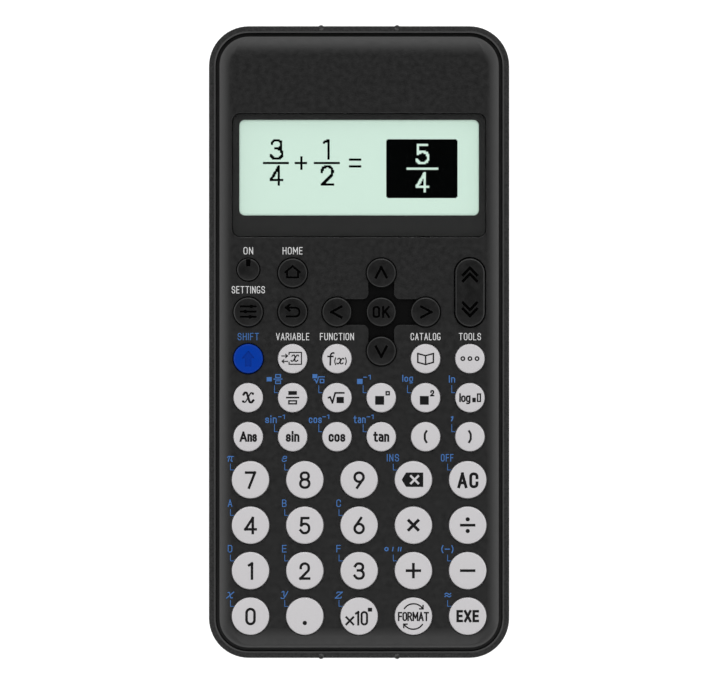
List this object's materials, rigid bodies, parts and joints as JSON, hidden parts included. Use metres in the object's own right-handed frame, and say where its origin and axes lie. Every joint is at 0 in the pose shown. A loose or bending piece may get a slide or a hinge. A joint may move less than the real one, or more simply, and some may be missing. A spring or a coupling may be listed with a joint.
{
  "type": "scientific calculator",
  "caption": "Flat pocket scientific calculator with a two-shell body, dot-matrix display, round push keys, a page rocker and a screwed battery cover.",
  "frame": {"origin": "middle of the flat back, on the surface that the calculator lies on", "axes": "+X to the right across the face, +Y up the face towards the display, +Z out of the face"},
  "size_m": [0.077, 0.1626, 0.0138],
  "materials": {
    "face_black": "fine matt",
    "rim_black": "grained",
    "key_dark": "satin",
    "key_pale": "satin",
    "key_blue": "satin",
    "window_clear": "polished",
    "lcd_glass": "satin",
    "rubber_grey": "matt",
    "board_green": "solder mask",
    "cell_jacket": "printed film",
    "plated_steel": "plated"
  },
  "bodies": {
    "case": {"front_case": "face_black", "rear_case": "rim_black", "battery_cover": "rim_black", "display_window": "window_clear", "lcd_panel": "lcd_glass", "lcd_connectors": "rubber_grey", "rubber_keypad": "rubber_grey", "circuit_board": "board_green", "battery": "cell_jacket", "battery_contact": "plated_steel", "battery_spring": "plated_steel", "cover_screw": "plated_steel", "case_screws": "plated_steel"},
    "key_on": {"key_on": "key_dark"},
    "key_home": {"key_home": "key_dark"},
    "key_up": {"key_up": "key_dark"},
    "key_settings": {"key_settings": "key_dark"},
    "key_back": {"key_back": "key_dark"},
    "key_left": {"key_left": "key_dark"},
    "key_ok": {"key_ok": "key_dark"},
    "key_right": {"key_right": "key_dark"},
    "key_down": {"key_down": "key_dark"},
    "key_shift": {"key_shift": "key_blue"},
    "key_variable": {"key_variable": "key_pale"},
    "key_function": {"key_function": "key_pale"},
    "key_catalogue": {"key_catalogue": "key_pale"},
    "key_tools": {"key_tools": "key_pale"},
    "key_x": {"key_x": "key_pale"},
    "key_fraction": {"key_fraction": "key_pale"},
    "key_root": {"key_root": "key_pale"},
    "key_exponent": {"key_exponent": "key_pale"},
    "key_square": {"key_square": "key_pale"},
    "key_log": {"key_log": "key_pale"},
    "key_answer": {"key_answer": "key_pale"},
    "key_sin": {"key_sin": "key_pale"},
    "key_cos": {"key_cos": "key_pale"},
    "key_tan": {"key_tan": "key_pale"},
    "key_bracket_open": {"key_bracket_open": "key_pale"},
    "key_bracket_close": {"key_bracket_close": "key_pale"},
    "key_7": {"key_7": "key_pale"},
    "key_8": {"key_8": "key_pale"},
    "key_9": {"key_9": "key_pale"},
    "key_delete": {"key_delete": "key_pale"},
    "key_clear": {"key_clear": "key_pale"},
    "key_4": {"key_4": "key_pale"},
    "key_5": {"key_5": "key_pale"},
    "key_6": {"key_6": "key_pale"},
    "key_multiply": {"key_multiply": "key_pale"},
    "key_divide": {"key_divide": "key_pale"},
    "key_1": {"key_1": "key_pale"},
    "key_2": {"key_2": "key_pale"},
    "key_3": {"key_3": "key_pale"},
    "key_plus": {"key_plus": "key_pale"},
    "key_minus": {"key_minus": "key_pale"},
    "key_0": {"key_0": "key_pale"},
    "key_point": {"key_point": "key_pale"},
    "key_power_of_ten": {"key_power_of_ten": "key_pale"},
    "key_format": {"key_format": "key_pale"},
    "key_execute": {"key_execute": "key_pale"},
    "key_page": {"key_page": "key_dark"}
  },
  "joints": [
    {"name": "on_press", "type": "slide", "parent": "case", "child": "key_on", "axis": [0, 0, -1], "range_m": [0, 0.001], "stiffness_N_per_m": 600, "deforming": ["rubber_keypad"]},
    {"name": "home_press", "type": "slide", "parent": "case", "child": "key_home", "axis": [0, 0, -1], "range_m": [0, 0.001], "stiffness_N_per_m": 600, "deforming": ["rubber_keypad"]},
    {"name": "up_press", "type": "slide", "parent": "case", "child": "key_up", "axis": [0, 0, -1], "range_m": [0, 0.001], "stiffness_N_per_m": 600, "deforming": ["rubber_keypad"]},
    {"name": "settings_press", "type": "slide", "parent": "case", "child": "key_settings", "axis": [0, 0, -1], "range_m": [0, 0.001], "stiffness_N_per_m": 600, "deforming": ["rubber_keypad"]},
    {"name": "back_press", "type": "slide", "parent": "case", "child": "key_back", "axis": [0, 0, -1], "range_m": [0, 0.001], "stiffness_N_per_m": 600, "deforming": ["rubber_keypad"]},
    {"name": "left_press", "type": "slide", "parent": "case", "child": "key_left", "axis": [0, 0, -1], "range_m": [0, 0.001], "stiffness_N_per_m": 600, "deforming": ["rubber_keypad"]},
    {"name": "ok_press", "type": "slide", "parent": "case", "child": "key_ok", "axis": [0, 0, -1], "range_m": [0, 0.001], "stiffness_N_per_m": 600, "deforming": ["rubber_keypad"]},
    {"name": "right_press", "type": "slide", "parent": "case", "child": "key_right", "axis": [0, 0, -1], "range_m": [0, 0.001], "stiffness_N_per_m": 600, "deforming": ["rubber_keypad"]},
    {"name": "down_press", "type": "slide", "parent": "case", "child": "key_down", "axis": [0, 0, -1], "range_m": [0, 0.001], "stiffness_N_per_m": 600, "deforming": ["rubber_keypad"]},
    {"name": "shift_press", "type": "slide", "parent": "case", "child": "key_shift", "axis": [0, 0, -1], "range_m": [0, 0.001], "stiffness_N_per_m": 600, "deforming": ["rubber_keypad"]},
    {"name": "variable_press", "type": "slide", "parent": "case", "child": "key_variable", "axis": [0, 0, -1], "range_m": [0, 0.001], "stiffness_N_per_m": 600, "deforming": ["rubber_keypad"]},
    {"name": "function_press", "type": "slide", "parent": "case", "child": "key_function", "axis": [0, 0, -1], "range_m": [0, 0.001], "stiffness_N_per_m": 600, "deforming": ["rubber_keypad"]},
    {"name": "catalogue_press", "type": "slide", "parent": "case", "child": "key_catalogue", "axis": [0, 0, -1], "range_m": [0, 0.001], "stiffness_N_per_m": 600, "deforming": ["rubber_keypad"]},
    {"name": "tools_press", "type": "slide", "parent": "case", "child": "key_tools", "axis": [0, 0, -1], "range_m": [0, 0.001], "stiffness_N_per_m": 600, "deforming": ["rubber_keypad"]},
    {"name": "x_press", "type": "slide", "parent": "case", "child": "key_x", "axis": [0, 0, -1], "range_m": [0, 0.001], "stiffness_N_per_m": 600, "deforming": ["rubber_keypad"]},
    {"name": "fraction_press", "type": "slide", "parent": "case", "child": "key_fraction", "axis": [0, 0, -1], "range_m": [0, 0.001], "stiffness_N_per_m": 600, "deforming": ["rubber_keypad"]},
    {"name": "root_press", "type": "slide", "parent": "case", "child": "key_root", "axis": [0, 0, -1], "range_m": [0, 0.001], "stiffness_N_per_m": 600, "deforming": ["rubber_keypad"]},
    {"name": "exponent_press", "type": "slide", "parent": "case", "child": "key_exponent", "axis": [0, 0, -1], "range_m": [0, 0.001], "stiffness_N_per_m": 600, "deforming": ["rubber_keypad"]},
    {"name": "square_press", "type": "slide", "parent": "case", "child": "key_square", "axis": [0, 0, -1], "range_m": [0, 0.001], "stiffness_N_per_m": 600, "deforming": ["rubber_keypad"]},
    {"name": "log_press", "type": "slide", "parent": "case", "child": "key_log", "axis": [0, 0, -1], "range_m": [0, 0.001], "stiffness_N_per_m": 600, "deforming": ["rubber_keypad"]},
    {"name": "answer_press", "type": "slide", "parent": "case", "child": "key_answer", "axis": [0, 0, -1], "range_m": [0, 0.001], "stiffness_N_per_m": 600, "deforming": ["rubber_keypad"]},
    {"name": "sin_press", "type": "slide", "parent": "case", "child": "key_sin", "axis": [0, 0, -1], "range_m": [0, 0.001], "stiffness_N_per_m": 600, "deforming": ["rubber_keypad"]},
    {"name": "cos_press", "type": "slide", "parent": "case", "child": "key_cos", "axis": [0, 0, -1], "range_m": [0, 0.001], "stiffness_N_per_m": 600, "deforming": ["rubber_keypad"]},
    {"name": "tan_press", "type": "slide", "parent": "case", "child": "key_tan", "axis": [0, 0, -1], "range_m": [0, 0.001], "stiffness_N_per_m": 600, "deforming": ["rubber_keypad"]},
    {"name": "bracket_open_press", "type": "slide", "parent": "case", "child": "key_bracket_open", "axis": [0, 0, -1], "range_m": [0, 0.001], "stiffness_N_per_m": 600, "deforming": ["rubber_keypad"]},
    {"name": "bracket_close_press", "type": "slide", "parent": "case", "child": "key_bracket_close", "axis": [0, 0, -1], "range_m": [0, 0.001], "stiffness_N_per_m": 600, "deforming": ["rubber_keypad"]},
    {"name": "7_press", "type": "slide", "parent": "case", "child": "key_7", "axis": [0, 0, -1], "range_m": [0, 0.001], "stiffness_N_per_m": 600, "deforming": ["rubber_keypad"]},
    {"name": "8_press", "type": "slide", "parent": "case", "child": "key_8", "axis": [0, 0, -1], "range_m": [0, 0.001], "stiffness_N_per_m": 600, "deforming": ["rubber_keypad"]},
    {"name": "9_press", "type": "slide", "parent": "case", "child": "key_9", "axis": [0, 0, -1], "range_m": [0, 0.001], "stiffness_N_per_m": 600, "deforming": ["rubber_keypad"]},
    {"name": "delete_press", "type": "slide", "parent": "case", "child": "key_delete", "axis": [0, 0, -1], "range_m": [0, 0.001], "stiffness_N_per_m": 600, "deforming": ["rubber_keypad"]},
    {"name": "clear_press", "type": "slide", "parent": "case", "child": "key_clear", "axis": [0, 0, -1], "range_m": [0, 0.001], "stiffness_N_per_m": 600, "deforming": ["rubber_keypad"]},
    {"name": "4_press", "type": "slide", "parent": "case", "child": "key_4", "axis": [0, 0, -1], "range_m": [0, 0.001], "stiffness_N_per_m": 600, "deforming": ["rubber_keypad"]},
    {"name": "5_press", "type": "slide", "parent": "case", "child": "key_5", "axis": [0, 0, -1], "range_m": [0, 0.001], "stiffness_N_per_m": 600, "deforming": ["rubber_keypad"]},
    {"name": "6_press", "type": "slide", "parent": "case", "child": "key_6", "axis": [0, 0, -1], "range_m": [0, 0.001], "stiffness_N_per_m": 600, "deforming": ["rubber_keypad"]},
    {"name": "multiply_press", "type": "slide", "parent": "case", "child": "key_multiply", "axis": [0, 0, -1], "range_m": [0, 0.001], "stiffness_N_per_m": 600, "deforming": ["rubber_keypad"]},
    {"name": "divide_press", "type": "slide", "parent": "case", "child": "key_divide", "axis": [0, 0, -1], "range_m": [0, 0.001], "stiffness_N_per_m": 600, "deforming": ["rubber_keypad"]},
    {"name": "1_press", "type": "slide", "parent": "case", "child": "key_1", "axis": [0, 0, -1], "range_m": [0, 0.001], "stiffness_N_per_m": 600, "deforming": ["rubber_keypad"]},
    {"name": "2_press", "type": "slide", "parent": "case", "child": "key_2", "axis": [0, 0, -1], "range_m": [0, 0.001], "stiffness_N_per_m": 600, "deforming": ["rubber_keypad"]},
    {"name": "3_press", "type": "slide", "parent": "case", "child": "key_3", "axis": [0, 0, -1], "range_m": [0, 0.001], "stiffness_N_per_m": 600, "deforming": ["rubber_keypad"]},
    {"name": "plus_press", "type": "slide", "parent": "case", "child": "key_plus", "axis": [0, 0, -1], "range_m": [0, 0.001], "stiffness_N_per_m": 600, "deforming": ["rubber_keypad"]},
    {"name": "minus_press", "type": "slide", "parent": "case", "child": "key_minus", "axis": [0, 0, -1], "range_m": [0, 0.001], "stiffness_N_per_m": 600, "deforming": ["rubber_keypad"]},
    {"name": "0_press", "type": "slide", "parent": "case", "child": "key_0", "axis": [0, 0, -1], "range_m": [0, 0.001], "stiffness_N_per_m": 600, "deforming": ["rubber_keypad"]},
    {"name": "point_press", "type": "slide", "parent": "case", "child": "key_point", "axis": [0, 0, -1], "range_m": [0, 0.001], "stiffness_N_per_m": 600, "deforming": ["rubber_keypad"]},
    {"name": "power_of_ten_press", "type": "slide", "parent": "case", "child": "key_power_of_ten", "axis": [0, 0, -1], "range_m": [0, 0.001], "stiffness_N_per_m": 600, "deforming": ["rubber_keypad"]},
    {"name": "format_press", "type": "slide", "parent": "case", "child": "key_format", "axis": [0, 0, -1], "range_m": [0, 0.001], "stiffness_N_per_m": 600, "deforming": ["rubber_keypad"]},
    {"name": "execute_press", "type": "slide", "parent": "case", "child": "key_execute", "axis": [0, 0, -1], "range_m": [0, 0.001], "stiffness_N_per_m": 600, "deforming": ["rubber_keypad"]},
    {"name": "page_rock", "type": "hinge", "parent": "case", "child": "key_page", "pos_m": [0.0284, 0.0127, 0.0105], "axis": [1, 0, 0], "range_deg": [-3.5, 3.5], "stiffness_Nm_per_rad": 0.08, "deforming": ["rubber_keypad"]}
  ]
}
